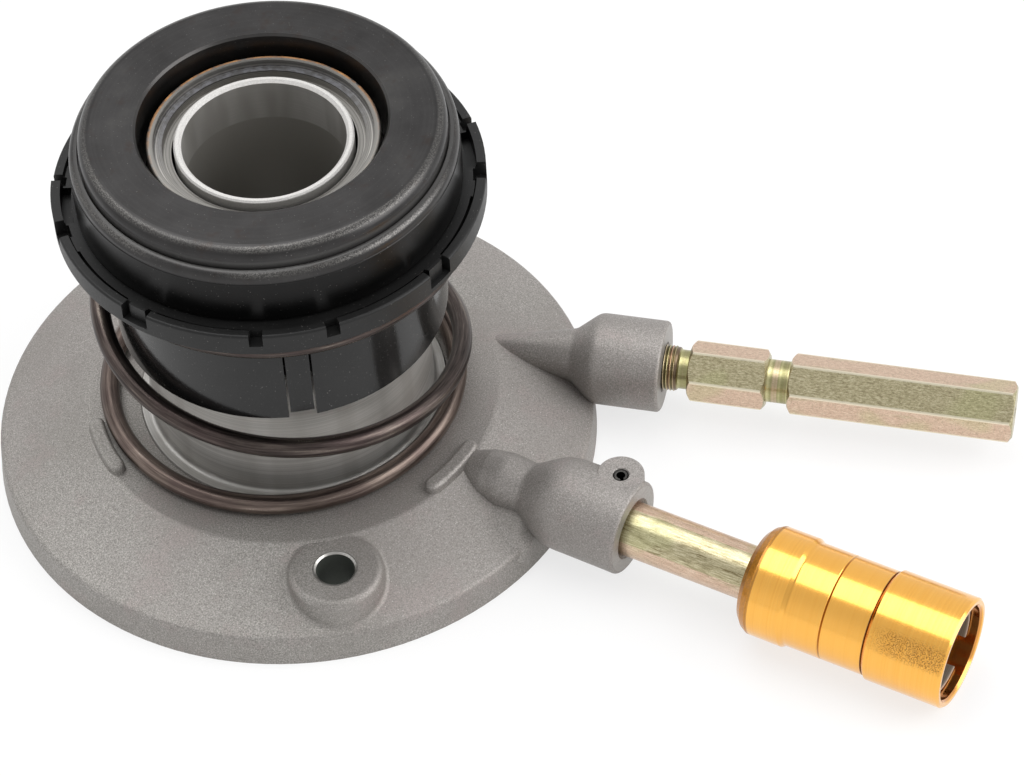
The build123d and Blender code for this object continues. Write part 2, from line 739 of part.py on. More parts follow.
with BuildPart() as coupling_body:
    turned(
        (
            (TUBE_RADIUS + 0.02, COUPLING_START),
            (10.2, COUPLING_START),
            (11.6, COUPLING_START + 1.2),
            (COUPLING_BACK_RADIUS, COUPLING_START + 2.6),
            (COUPLING_BACK_RADIUS, 127.2),
            (COUPLING_WAIST_RADIUS, 128.2),
            (COUPLING_WAIST_RADIUS, 136.2),
            (COUPLING_WAIST_RADIUS - 0.3, 136.5),
            (COUPLING_WAIST_RADIUS, 136.8),
            (COUPLING_WAIST_RADIUS, COUPLING_SPLIT),
            (10.3, COUPLING_SPLIT),
            (10.3, SPIGOT_END),
            (7.6, SPIGOT_END),
            (7.0, SPIGOT_END - 0.6),
            (7.0, 148.1),
            (8.2, 148.1),
            (8.2, 145.9),
            (7.0, 145.9),
            (7.0, 141.0),
            (4.0, 141.0),
            (4.0, VALVE_SEAT + 2.3),
            (5.6, VALVE_SEAT),
            (5.6, 124.0),
            (2.4, 124.0),
            (2.4, TUBE_END),
            (TUBE_RADIUS + 0.02, TUBE_END),
        ),
        SUPPLY,
        rounds=(((COUPLING_BACK_RADIUS, COUPLING_START + 2.6), 0.3), ((COUPLING_WAIST_RADIUS, 128.2), 0.8)),
    )
coupling_body.part.label = "coupling_body"

with BuildPart() as coupling_nose:
    turned(
        (
            (10.35, COUPLING_SPLIT),
            (COUPLING_WAIST_RADIUS - 0.3, COUPLING_SPLIT),
            (COUPLING_NOSE_RADIUS, COUPLING_SPLIT + 0.9),
            (COUPLING_NOSE_RADIUS, COUPLING_END - 0.5),
            (COUPLING_NOSE_RADIUS - 0.5, COUPLING_END),
            (11.2, COUPLING_END),
            (10.6, COUPLING_END - 0.6),
            (10.6, 160.5),
            (11.0, 160.5),
            (11.0, 159.0),
            (10.6, 159.0),
            (10.6, 155.0),
            (10.35, 154.7),
        ),
        SUPPLY,
    )
coupling_nose.part.label = "coupling_nose"

with BuildPart() as coupling_clip:
    turned(
        (
            (9.65, SPIGOT_END),
            (10.3, SPIGOT_END),
            (10.3, 154.3),
            (10.1, 154.6),
            (10.1, 162.0),
            (9.6, 162.0),
            (9.6, 154.6),
        ),
        SUPPLY,
    )
    # Three sprung tongues, each with a window
    for tongue in range(3):
        sector(9.0, 11.0, 154.3, 163.0, 68 + 120 * tongue, 40.0, SUPPLY)
        sector(9.0, 11.0, 156.8, 159.2, 8 + 120 * tongue, 26.0, SUPPLY)
coupling_clip.part.label = "coupling_clip"

with BuildPart() as coupling_o_ring:
    with BuildSketch(half_plane(SUPPLY, 0)):
        with Locations((7.4, 147.0)):
            Circle(0.79)
    revolve(axis=Axis(SUPPLY.origin, SUPPLY.z_dir))
coupling_o_ring.part.label = "coupling_o_ring"

with BuildPart() as coupling_valve:
    turned(
        (
            (0, 128.0),
            (1.8, 128.0),
            (1.8, 134.8),
            (5.2, 134.8),
            (5.2, 136.3),
            (3.6, 138.6),
            (2.2, 138.6),
            (2.2, 146.4),
            (1.6, 147.0),
            (0, 147.0),
        ),
        SUPPLY,
    )
coupling_valve.part.label = "coupling_valve"

with BuildPart() as coupling_valve_spring:
    valve_wire = 0.35
    valve_coils = 5
    valve_height = 134.8 - 124.0 - 2 * valve_wire
    valve_path = Helix(
        pitch=valve_height / valve_coils,
        height=valve_height,
        radius=3.6,
        center=SUPPLY.origin + SUPPLY.z_dir * (124.0 + valve_wire),
        direction=SUPPLY.z_dir,
    )
    with BuildSketch(Plane(origin=valve_path @ 0, z_dir=valve_path % 0)):
        Circle(valve_wire)
    sweep(path=valve_path)
coupling_valve_spring.part.label = "coupling_valve_spring"

# Bleed screw: two hexagons with a neck between them, a thread and a conical seat

with BuildPart() as bleed_screw:
    with BuildSketch(BLEED.offset(HEX_START)):
        RegularPolygon(radius=HEX_ACROSS_FLATS / 2, side_count=6, major_radius=False, rotation=96.8)
    extrude(amount=HEX_END - HEX_START)
    corner = 7.0
    bevel_width = 1.25
    bevel = 0.9
    turned(
        (
            (0, HEX_START),
            (corner - bevel_width, HEX_START),
            (corner, HEX_START + bevel),
            (corner, HEX_NECK_START - bevel),
            (corner - bevel_width, HEX_NECK_START),
            (4.85, HEX_NECK_START),
            (4.85, HEX_NECK_END),
            (corner - bevel_width, HEX_NECK_END),
            (corner, HEX_NECK_END + bevel),
            (corner, HEX_END - bevel),
            (corner - bevel_width, HEX_END),
            (0, HEX_END),
        ),
        BLEED,
        mode=Mode.INTERSECT,
    )
    turned(
        (
            (0, 64.3),
            (2.2, 64.3),
            (4.83, 66.93),
            (4.4, 67.4),
            (4.4, 69.5),
            (THREAD_RADIUS, 70.1),
            (THREAD_RADIUS, 84.0),
            (4.45, 84.5),
            (4.45, HEX_START),
            (0, HEX_START),
        ),
        BLEED,
    )
    # The passage: along the screw, then out through its neck behind the seat
    turned(((0, 67.0), (1.25, 67.0), (1.25, HEX_END + 1), (0, HEX_END + 1)), BLEED, mode=Mode.SUBTRACT)
    with BuildSketch(half_plane(BLEED, 0)):
        with Locations((0, 68.5)):
            Circle(0.9)
    extrude(amount=6.0, both=True, mode=Mode.SUBTRACT)
bleed_screw.part.label = "bleed_screw"

pieces = (
    housing,
    guide_sleeve,
    sleeve_o_ring,
    sleeve_snap_ring,
    stop_ring,
    piston,
    piston_seal,
    piston_guide_ring,
    piston_wiper,
    carrier_sleeve,
    carrier_snap_ring,
    dust_cover,
    bearing_outer_ring,
    thrust_ring,
    bearing_balls,
    ball_cage,
    bearing_shield,
    return_spring,
    supply_tube,
    tube_o_ring,
    spring_pin,
    coupling_body,
    coupling_nose,
    coupling_clip,
    coupling_o_ring,
    coupling_valve,
    coupling_valve_spring,
    bleed_screw,
)
for piece in pieces:
    export_step(piece.part, f"parts/{piece.part.label}.step")
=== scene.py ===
"""Looks of a concentric clutch slave cylinder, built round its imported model. Metres, +Z up."""

import json
import math

import bpy
from mathutils import Matrix, Vector


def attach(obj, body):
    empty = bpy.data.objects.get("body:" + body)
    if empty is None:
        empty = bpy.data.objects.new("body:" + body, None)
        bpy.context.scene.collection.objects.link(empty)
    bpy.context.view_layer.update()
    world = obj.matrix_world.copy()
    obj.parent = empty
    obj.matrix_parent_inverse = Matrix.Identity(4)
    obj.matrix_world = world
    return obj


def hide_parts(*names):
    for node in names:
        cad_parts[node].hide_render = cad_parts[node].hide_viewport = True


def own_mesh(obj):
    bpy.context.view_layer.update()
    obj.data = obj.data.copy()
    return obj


MM = 0.001

# Camera, from the photograph's perspective: focal length for a 36 mm sensor, place and turns

LENS = 133.5
CAMERA_PLACE = (-0.04267, -0.58102, 0.64465)
CAMERA_HEADING = -9.03
CAMERA_TILT = 42.44
CAMERA_ROLL = -3.41

# The object's own axes, in millimetres, as in the part's source

PORT_HEIGHT = 12.6
BLEED_AZIMUTH = -23.7
BLEED_OFFSET = 22.35
SUPPLY_AZIMUTH = -39.8
SUPPLY_OFFSET = -2.05
BOLT_OFFSET = 55.0

# Where finishes meet, in millimetres: radii and heights on the main axis, stations along the ports' axes

BAND_RADIUS = 34.4  # machined band round the foot of the cylinder
BOLT_HOLE_RADIUS = 4.25
BOSS_TOP = 15.05
BLEED_FACE = 80.9
BLEED_FACE_RADIUS = 9.6
SUPPLY_FACE = 86.8
SUPPLY_FACE_RADIUS = 9.8
SLEEVE_BORE = 17.5
SLEEVE_TOP = 92.3
BORE_SHADOW_EDGE = 81.6  # painted shadow edge: the sleeve's bore is painted darker below this
THRUST_TOP = 97.4
THRUST_SHOULDER = (37.3, 38.0)  # rubbed edge of the turning ring, with a painted highlight on it
RING_GAP = (37.8, 40.0)  # hollow between the bearing's two rings, painted lighter to lift its shade
OUTER_RING_TOP = 93.0
OUTER_SHOULDER = (40.4, 40.8)  # rubbed edge of the standing ring, with a painted highlight on it
OUTER_WALL = 40.2
BEARING_RIM = 27.3  # painted highlight along the edge of the bearing's bore
CARRIER_STEP = (21.7, 23.2)  # middle one of the carrier's steps
CARRIER_STEP_TOP = 91.0
CARRIER_CORNER = 23.95  # where the rust starts
SKIRT_RADIUS = 36.4
HEX_START = 86.7
HEX_NECK = (104.5, 109.4)
HEX_CORNER = 6.82
COUPLING_BACK = 119.75  # front end of the blasted back
COUPLING_GROOVE = 136.5
COUPLING_SPLIT = 146.3
COUPLING_RUBBED = (11.9, 12.35)  # how far out the rubbed side lies
COUPLING_MOUTH = 11.1
CLIP_EDGE = 161.95

# Return spring, in millimetres and degrees; its coils are laid as they have settled in use

SPRING_SEAT = 15.2
SPRING_CEILING = 73.9
WIRE_RADIUS = 2.2
FREE_START = 90.8
FREE_RISE = 38.9
LOWER_COIL = (39.35, -1.8, 2.2)  # radius, and where its centre lies in X and Y
FREE_COIL = (39.5, -0.6, 0.45)
UPPER_COIL = (41.3, 0.8, -0.3)
CLOSED_TURN = 295.0
SETTLE_TURN = 40.0  # the angle over which a closed coil runs into the free ones
TURN_STEP = 7.5

# Spring behind the coupling's valve, in millimetres and degrees, along the supply port's axis

VALVE_SPRING_LOW = 124.0
VALVE_SPRING_HIGH = 134.8
VALVE_WIRE = 0.35
VALVE_COIL_RADIUS = 3.6
VALVE_TURNS = 5
VALVE_STEP = 15.0

# Bleed thread, in millimetres

THREAD_ROOT = 4.85
THREAD_CREST = 5.2
THREAD_PITCH = 0.75
THREAD_START = 80.8
THREAD_END = 84.2
THREAD_TURNS = 4


def port_axis(azimuth, offset):
    """A point of a port's axis and the direction along it, in millimetres."""
    turn = math.radians(azimuth)
    along = Vector((math.cos(turn), math.sin(turn), 0))
    across = Vector((-math.sin(turn), math.cos(turn), 0))
    return across * offset + Vector((0, 0, PORT_HEIGHT)), along


UP = Vector((0, 0, 1))
MAIN = (Vector((0, 0, 0)), UP)
REARWARD = (Vector((0, 0, 0)), Vector((0, 1, 0)))
BLEED = port_axis(BLEED_AZIMUTH, BLEED_OFFSET)
SUPPLY = port_axis(SUPPLY_AZIMUTH, SUPPLY_OFFSET)


# Building blocks of the materials


class Finish:
    """A material and the nodes that its colour, roughness and bump are made from."""

    def __init__(self, name, metallic, roughness, colour):
        self.material = bpy.data.materials.new(name)
        self.material.use_nodes = True
        self.tree = self.material.node_tree
        self.shader = self.tree.nodes["Principled BSDF"]
        self.shader.inputs["Metallic"].default_value = metallic
        self.shader.inputs["Roughness"].default_value = roughness
        self.shader.inputs["Base Color"].default_value = (*colour, 1)
        place = self.tree.nodes.new("ShaderNodeTexCoord").outputs["Object"]
        self.place = self.vector("SCALE", place, scale=1 / MM)

    def put(self, node, socket, value):
        """Sets a socket to a value, or links it to another socket."""
        if isinstance(value, bpy.types.NodeSocket):
            self.tree.links.new(value, node.inputs[socket])
        else:
            node.inputs[socket].default_value = value

    def vector(self, operation, first, second=None, scale=None):
        node = self.tree.nodes.new("ShaderNodeVectorMath")
        node.operation = operation
        self.put(node, 0, first)
        if second is not None:
            self.put(node, 1, second)
        if scale is not None:
            self.put(node, "Scale", scale)
        return node.outputs["Value" if operation in ("LENGTH", "DOT_PRODUCT") else "Vector"]

    def maths(self, operation, first, second=0.0):
        node = self.tree.nodes.new("ShaderNodeMath")
        node.operation = operation
        self.put(node, 0, first)
        self.put(node, 1, second)
        return node.outputs[0]

    def along(self, axis):
        """Distance along an axis, in millimetres."""
        return self.vector("DOT_PRODUCT", self.vector("SUBTRACT", self.place, axis[0]), axis[1])

    def radius(self, axis):
        """Distance from an axis, in millimetres."""
        arm = self.vector("SUBTRACT", self.place, axis[0])
        return self.vector("LENGTH", self.vector("CROSS_PRODUCT", arm, axis[1]))

    def across(self, axis, angle):
        """Distance from an axis towards an angle round it, where 90 degrees is upwards."""
        turn = math.radians(angle)
        level = UP.cross(axis[1])
        return self.along((axis[0], level * math.cos(turn) + UP * math.sin(turn)))

    def drawn(self, axis, share=0.06):
        """Places squeezed along an axis, so that noise there runs in lengthwise streaks."""
        squeeze = self.maths("MULTIPLY", self.along(axis), 1 - share)
        return self.vector("SUBTRACT", self.place, self.vector("SCALE", axis[1], scale=squeeze))

    def rises(self, value, low, high):
        """0 below low, 1 above high and smooth between them; the other way round if high is lower."""
        node = self.tree.nodes.new("ShaderNodeMapRange")
        node.interpolation_type = "SMOOTHSTEP"
        self.put(node, "Value", value)
        self.put(node, "From Min", min(low, high))
        self.put(node, "From Max", max(low, high))
        self.put(node, "To Min", 0.0 if low < high else 1.0)
        self.put(node, "To Max", 1.0 if low < high else 0.0)
        return node.outputs["Result"]

    def band(self, value, low, high, soft=0.05):
        """1 from low to high and 0 outside, with soft edges."""
        return self.both(self.rises(value, low - soft, low), self.rises(value, high + soft, high))

    def part(self, mask, share):
        """A mask made weaker."""
        return self.maths("MULTIPLY", mask, share)

    def both(self, *masks):
        """1 where all the masks are 1."""
        made = masks[0]
        for mask in masks[1:]:
            made = self.maths("MULTIPLY", made, mask)
        return made

    def either(self, *masks):
        """1 where any of the masks is 1."""
        made = masks[0]
        for mask in masks[1:]:
            made = self.maths("MAXIMUM", made, mask)
        return made

    def noise(self, scale, detail=2.0, rough=0.5, where=None):
        """Noise with about scale bumps a millimetre, 0 to 1."""
        node = self.tree.nodes.new("ShaderNodeTexNoise")
        self.put(node, "Vector", where if where is not None else self.place)
        self.put(node, "Scale", scale)
        self.put(node, "Detail", detail)
        self.put(node, "Roughness", rough)
        return node.outputs["Fac"]

    def rings(self, axis, scale, detail=2.0):
        """Noise that runs round an axis, as a lathe leaves it."""
        node = self.tree.nodes.new("ShaderNodeCombineXYZ")
        self.put(node, 0, self.along(axis))
        self.put(node, 1, self.radius(axis))
        return self.noise(scale, detail, 0.6, node.outputs[0])

    def specks(self, scale, few):
        """Sparse small specks: 1 in a speck; the nearer few is to 1, the fewer there are."""
        return self.rises(self.noise(scale, 0.0), few, few + 0.03)

    def ramp(self, value, *stops):
        """Colours by value: each stop is a place from 0 to 1 and a colour."""
        node = self.tree.nodes.new("ShaderNodeValToRGB")
        self.put(node, 0, value)
        while len(node.color_ramp.elements) < len(stops):
            node.color_ramp.elements.new(0.5)
        for element, (place, colour) in zip(node.color_ramp.elements, stops):
            element.position = place
            element.color = (*colour, 1)
        return node.outputs["Color"]

    def mix(self, share, first, second):
        """A colour between first and second."""
        node = self.tree.nodes.new("ShaderNodeMix")
        node.data_type = "RGBA"
        self.put(node, 0, share)
        for socket, value in ((6, first), (7, second)):
            self.put(node, socket, value if isinstance(value, bpy.types.NodeSocket) else (*value, 1))
        return node.outputs[2]

    def blend(self, share, first, second):
        """A number between first and second."""
        node = self.tree.nodes.new("ShaderNodeMix")
        self.put(node, 0, share)
        self.put(node, 2, first)
        self.put(node, 3, second)
        return node.outputs[0]

    def colour(self, value):
        self.put(self.shader, "Base Color", value)

    def colour_so_far(self):
        return self.shader.inputs["Base Color"].links[0].from_socket

    def rough(self, value):
        self.put(self.shader, "Roughness", value)

    def metal(self, value):
        self.put(self.shader, "Metallic", value)

    def bump(self, height, depth, strength=1.0):
        """Adds relief, depth millimetres deep, over what is there already."""
        node = self.tree.nodes.new("ShaderNodeBump")
        self.put(node, "Height", height)
        self.put(node, "Distance", depth * MM)
        self.put(node, "Strength", strength)
        if self.shader.inputs["Normal"].links:
            self.tree.links.new(self.shader.inputs["Normal"].links[0].from_socket, node.inputs["Normal"])
        self.tree.links.new(node.outputs[0], self.shader.inputs["Normal"])


def shade(red, green, blue):
    """A colour as a screen shows it, 0 to 255, in the linear values that a shader takes."""
    levels = [level / 255 for level in (red, green, blue)]
    return tuple(((c + 0.055) / 1.055) ** 2.4 if c > 0.04045 else c / 12.92 for c in levels)


# Finishes

PINK_FLATS = (66.8, 186.8, 246.8)  # angles of the bleed screw's pink flats
HEX_FLAT = 5.97  # how far out a flat lies, in millimetres
TUBE_PINK = ((52.0, 5.1), (204.0, 4.6))  # angles, and how far out the pink starts there
MARKED_SIDE = 138  # angle of the tube's dark draw marks
RUBBED_SIDE = 143  # angle of the coupling's rubbed side
RUST_GROWS = (-8.0, 16.0)  # from front to back, on the carrier, in millimetres
BROWN_FILM_AND_LINE_SHADE = shade(120, 66, 16)  # the coupling's gold where it is thick on the blasted back, and painted shade along its crest and groove lines
STREAKS_ALONG = 42.0  # bumps of noise along the whole spring wire, and per radius round it
STREAKS_ROUND = 2.6


def cast_aluminium():
    """Bead-blasted casting, bright where it is turned, with painted shade in its bolt holes."""
    f = Finish("cast_aluminium", 0.7, 0.55, shade(150, 146, 142))
    reach = f.radius(MAIN)
    height = f.along(MAIN)
    wall = f.both(
        f.rises(reach, BAND_RADIUS + 0.3, BAND_RADIUS + 0.1),
        f.rises(height, SPRING_SEAT + 0.1, SPRING_SEAT + 0.25),
    )
    foot = f.rises(height, 0.06, 0.02)
    bolt = f.maths("MINIMUM", *[f.radius((Vector((0, side * BOLT_OFFSET, 0)), UP)) for side in (-1, 1)])
    chamfer = f.both(
        f.rises(bolt, BOLT_HOLE_RADIUS + 0.8, BOLT_HOLE_RADIUS + 0.7),
        f.rises(height, BOSS_TOP - 0.55, BOSS_TOP - 0.4),
    )
    # Painted shade: the walls of the bolt holes are painted dark.
    bolt_hole_shade = f.both(
        f.rises(bolt, BOLT_HOLE_RADIUS + 0.2, BOLT_HOLE_RADIUS + 0.1),
        f.rises(height, BOSS_TOP - 0.45, BOSS_TOP - 0.6),
    )
    faces = [
        f.both(f.rises(f.along(port), face - 0.1, face - 0.02), f.rises(f.radius(port), edge + 0.1, edge))
        for port, face, edge in (
            (SUPPLY, SUPPLY_FACE, SUPPLY_FACE_RADIUS),
            (BLEED, BLEED_FACE, BLEED_FACE_RADIUS),
        )
    ]
    machined = f.either(wall, foot, chamfer, f.part(f.either(*faces), 0.35))
    grain = f.noise(3.1, 2.0, 0.65)
    pits = f.noise(6.5, 0.0)
    cloud = f.noise(0.05, 3.0)
    warm = f.noise(0.02, 2.0)
    blasted = f.ramp(
        grain,
        (0.28, shade(116, 113, 109)),
        (0.50, shade(151, 148, 144)),
        (0.73, shade(186, 182, 177)),
    )
    blasted = f.mix(f.part(f.rises(cloud, 0.35, 0.7), 0.35), blasted, shade(133, 129, 124))
    blasted = f.mix(f.part(f.rises(warm, 0.4, 0.6), 0.25), blasted, shade(150, 142, 140))
    blush = f.both(f.rises(f.noise(0.09, 3.0, 0.6), 0.52, 0.66), f.rises(grain, 0.35, 0.6))
    blasted = f.mix(f.part(blush, 0.35), blasted, shade(158, 144, 142))
    blasted = f.mix(f.part(f.specks(4.2, 0.765), 0.6), blasted, shade(214, 211, 206))
    lathe = f.rings(MAIN, 2.4)
    bright = f.ramp(lathe, (0.3, shade(168, 166, 162)), (0.7, shade(196, 194, 190)))
    stripe = f.rises(f.noise(0.16, 1.0, 0.5, f.drawn(MAIN, 0.03)), 0.40, 0.62)
    bright = f.mix(f.both(wall, stripe, f.blend(grain, 0.2, 0.6)), bright, shade(156, 152, 147))
    made = f.mix(machined, blasted, bright)
    f.colour(f.mix(bolt_hole_shade, made, shade(84, 88, 82)))
    f.rough(f.blend(machined, f.blend(pits, 0.50, 0.66), f.blend(wall, 0.36, 0.44)))
    f.metal(f.blend(machined, 0.7, f.blend(wall, 1.0, 0.75)))
    relief = f.blend(machined, grain, f.part(lathe, 0.10))
    f.bump(relief, 0.055, 0.8)
    return f.material


def sleeve_steel():
    """Ground tube: fine rings, a lapped end face that scatters the light, and painted shade in the lower
    bore.
    """
    f = Finish("sleeve_steel", 1.0, 0.3, shade(190, 189, 187))
    height = f.along(MAIN)
    face = f.rises(height, SLEEVE_TOP - 0.75, SLEEVE_TOP - 0.6)
    lathe = f.rings(MAIN, 3.2)
    cloud = f.noise(0.10, 3.0)
    ground = f.ramp(lathe, (0.3, shade(176, 174, 170)), (0.7, shade(198, 196, 192)))
    ground = f.mix(f.part(cloud, 0.3), ground, shade(160, 157, 152))
    bore = f.rises(f.radius(MAIN), SLEEVE_BORE + 0.4, SLEEVE_BORE + 0.3)
    # Painted shade: below the painted shadow edge the bore takes a darker colour, darker still towards the
    # bottom.
    low = f.both(bore, f.rises(height, BORE_SHADOW_EDGE + 0.3, BORE_SHADOW_EDGE))
    patchy = f.noise(0.12, 2.0, 0.5, f.drawn(MAIN, 0.25))
    ground = f.mix(f.both(bore, f.rises(patchy, 0.38, 0.62)), ground, shade(158, 155, 150))
    deep = f.mix(f.rises(height, 30.0, BORE_SHADOW_EDGE + 0.4), shade(128, 125, 119), shade(150, 147, 141))
    ground = f.mix(low, ground, deep)
    rim = f.both(
        f.rises(height, SLEEVE_TOP - 4.3, SLEEVE_TOP - 2.3),
        f.rises(f.radius(MAIN), SLEEVE_BORE + 0.7, SLEEVE_BORE + 0.9),
    )
    lapped = f.either(face, f.part(rim, 0.5))
    matt = f.ramp(f.noise(3.0), (0.3, shade(194, 192, 189)), (0.7, shade(212, 210, 207)))
    f.colour(f.mix(lapped, ground, matt))
    f.rough(f.blend(lapped, f.blend(cloud, 0.34, 0.46), 0.6))
    f.metal(f.blend(lapped, f.blend(bore, 1.0, 0.55), 0.2))
    f.bump(lathe, 0.006, 0.5)
    return f.material


def bearing_steel():
    """Gunmetal skin, turned, rubbed through in specks along both shoulders; painted highlights on the
    shoulders and the bore's edge, a painted dark reflection on the outer wall and painted light in the hollow
    between the rings.
    """
    f = Finish("bearing_steel", 0.9, 0.35, shade(60, 57, 55))
    reach = f.radius(MAIN)
    height = f.along(MAIN)
    lathe = f.rings(MAIN, 1.6, 3.0)
    cloud = f.noise(0.09, 4.0, 0.6)
    stain = f.noise(0.22, 3.0, 0.7)
    skin = f.ramp(cloud, (0.3, shade(52, 51, 51)), (0.6, shade(61, 60, 60)), (0.8, shade(70, 69, 68)))
    skin = f.mix(f.part(f.rises(lathe, 0.45, 0.75), 0.2), skin, shade(74, 73, 72))
    skin = f.mix(f.part(f.rises(stain, 0.55, 0.75), 0.35), skin, shade(56, 44, 38))
    # Painted dark reflection: the outer wall below its shoulder is painted near black.
    wall = f.both(
        f.rises(reach, OUTER_WALL - 0.6, OUTER_WALL),
        f.rises(height, OUTER_RING_TOP - 2.0, OUTER_RING_TOP - 3.0),
    )
    skin = f.mix(f.part(wall, 0.8), skin, shade(22, 22, 22))
    # Painted light: the hollow between the rings is painted lighter than the skin, to lift the shade that
    # falls there.
    gap_painted_light = f.both(
        f.band(reach, *RING_GAP, 0.3),
        f.rises(height, OUTER_RING_TOP + 2.0, OUTER_RING_TOP + 1.2),
    )
    skin = f.mix(f.part(gap_painted_light, 0.8), skin, shade(76, 75, 74))
    thrust = f.both(
        f.band(reach, *THRUST_SHOULDER, 0.5),
        f.rises(height, THRUST_TOP - 2.6, THRUST_TOP - 1.6),
    )
    outer = f.both(
        f.band(reach, *OUTER_SHOULDER, 0.4),
        f.rises(height, OUTER_RING_TOP - 2.4, OUTER_RING_TOP - 1.4),
    )
    rim = f.both(
        f.rises(reach, BEARING_RIM, BEARING_RIM - 0.3),
        f.rises(height, THRUST_TOP - 0.7, THRUST_TOP - 0.4),
    )
    # Real rubbed specks along both shoulders, with a painted highlight over the shoulders and the bore's
    # edge.
    rub = f.noise(3.6, 3.0, 0.7)
    side = f.noise(0.035, 2.0)
    flecked = f.blend(f.rises(rub, 0.42, 0.62), 0.12, 1.0)
    wear_and_highlight = f.both(f.either(thrust, outer), flecked, f.rises(side, 0.36, 0.62))
    wear_and_highlight = f.either(wear_and_highlight, f.part(rim, 0.15), f.part(f.specks(3.0, 0.80), 0.6))
    wear_and_highlight = f.part(wear_and_highlight, 0.7)
    f.colour(f.mix(wear_and_highlight, skin, shade(128, 126, 123)))
    f.rough(f.blend(wear_and_highlight, f.blend(cloud, 0.24, 0.38), 0.40))
    f.metal(f.blend(gap_painted_light, 0.9, 0.5))
    f.bump(f.rings(MAIN, 0.8), 0.010, 0.35)
    f.bump(rub, 0.012, 0.3)
    return f.material


def carrier_steel():
    """Dull stepped rings: the middle one is bluish and spotted, and rust sits in the outer corner."""
    f = Finish("carrier_steel", 1.0, 0.35, shade(130, 127, 123))
    reach = f.radius(MAIN)
    height = f.along(MAIN)
    lathe = f.rings(MAIN, 3.0)
    patch = f.noise(0.35, 3.0, 0.6)
    dull = f.ramp(lathe, (0.30, shade(88, 86, 84)), (0.5, shade(130, 128, 124)), (0.70, shade(172, 169, 164)))
    blue = f.ramp(f.noise(0.8, 2.0), (0.40, shade(44, 46, 54)), (0.60, shade(98, 100, 110)))
    back = f.rises(f.along(REARWARD), *RUST_GROWS)
    step_top = f.rises(height, CARRIER_STEP_TOP, CARRIER_STEP_TOP + 0.4)
    middle = f.both(f.band(reach, *CARRIER_STEP, 0.2), step_top, back)
    made = f.mix(f.part(middle, 0.6), dull, blue)
    corner = f.both(
        f.rises(reach, CARRIER_CORNER, CARRIER_CORNER + 0.3),
        f.rises(height, CARRIER_STEP_TOP - 3.0, CARRIER_STEP_TOP),
    )
    rust = f.both(corner, f.rises(patch, 0.36, 0.52), f.blend(back, 0.08, 1.0))
    rusty = f.ramp(patch, (0.4, shade(120, 76, 42)), (0.7, shade(196, 142, 84)))
    made = f.mix(f.part(rust, 0.85), made, rusty)
    f.colour(made)
    f.rough(f.blend(rust, f.blend(patch, 0.30, 0.48), 0.75))
    f.metal(f.blend(rust, 0.85, 0.35))
    f.bump(lathe, 0.010, 0.5)
    return f.material


def ring_steel():
    """Blackened, oiled spring steel."""
    f = Finish("ring_steel", 1.0, 0.35, shade(70, 69, 68))
    cloud = f.noise(0.9, 3.0)
    f.colour(f.ramp(cloud, (0.3, shade(52, 51, 50)), (0.7, shade(92, 90, 87))))
    f.rough(f.blend(cloud, 0.28, 0.45))
    f.bump(f.noise(3.0), 0.01, 0.5)
    return f.material


def clip_steel():
    """Satin stamped strip, bright along its cut edges."""
    f = Finish("clip_steel", 0.6, 0.4, shade(150, 144, 134))
    lathe = f.rings(SUPPLY, 3.0)
    edge = f.rises(f.along(SUPPLY), CLIP_EDGE - 0.35, CLIP_EDGE)
    satin = f.ramp(lathe, (0.3, shade(118, 112, 104)), (0.7, shade(165, 160, 150)))
    f.colour(f.mix(edge, satin, shade(225, 220, 210)))
    f.bump(lathe, 0.008, 0.5)
    return f.material


def polished_steel():
    """Bearing balls."""
    f = Finish("ball_steel", 1.0, 0.08, shade(215, 215, 216))
    cloud = f.noise(0.6, 3.0)
    f.colour(f.ramp(cloud, (0.3, shade(200, 200, 201)), (0.7, shade(222, 222, 223))))
    f.bump(cloud, 0.004, 0.4)
    return f.material


def turned_aluminium():
    """The piston, turned."""
    f = Finish("piston_aluminium", 1.0, 0.28, shade(205, 205, 207))
    lathe = f.rings(MAIN, 2.6)
    f.colour(f.ramp(lathe, (0.3, shade(188, 188, 190)), (0.7, shade(218, 218, 220))))
    f.bump(lathe, 0.012, 0.5)
    return f.material


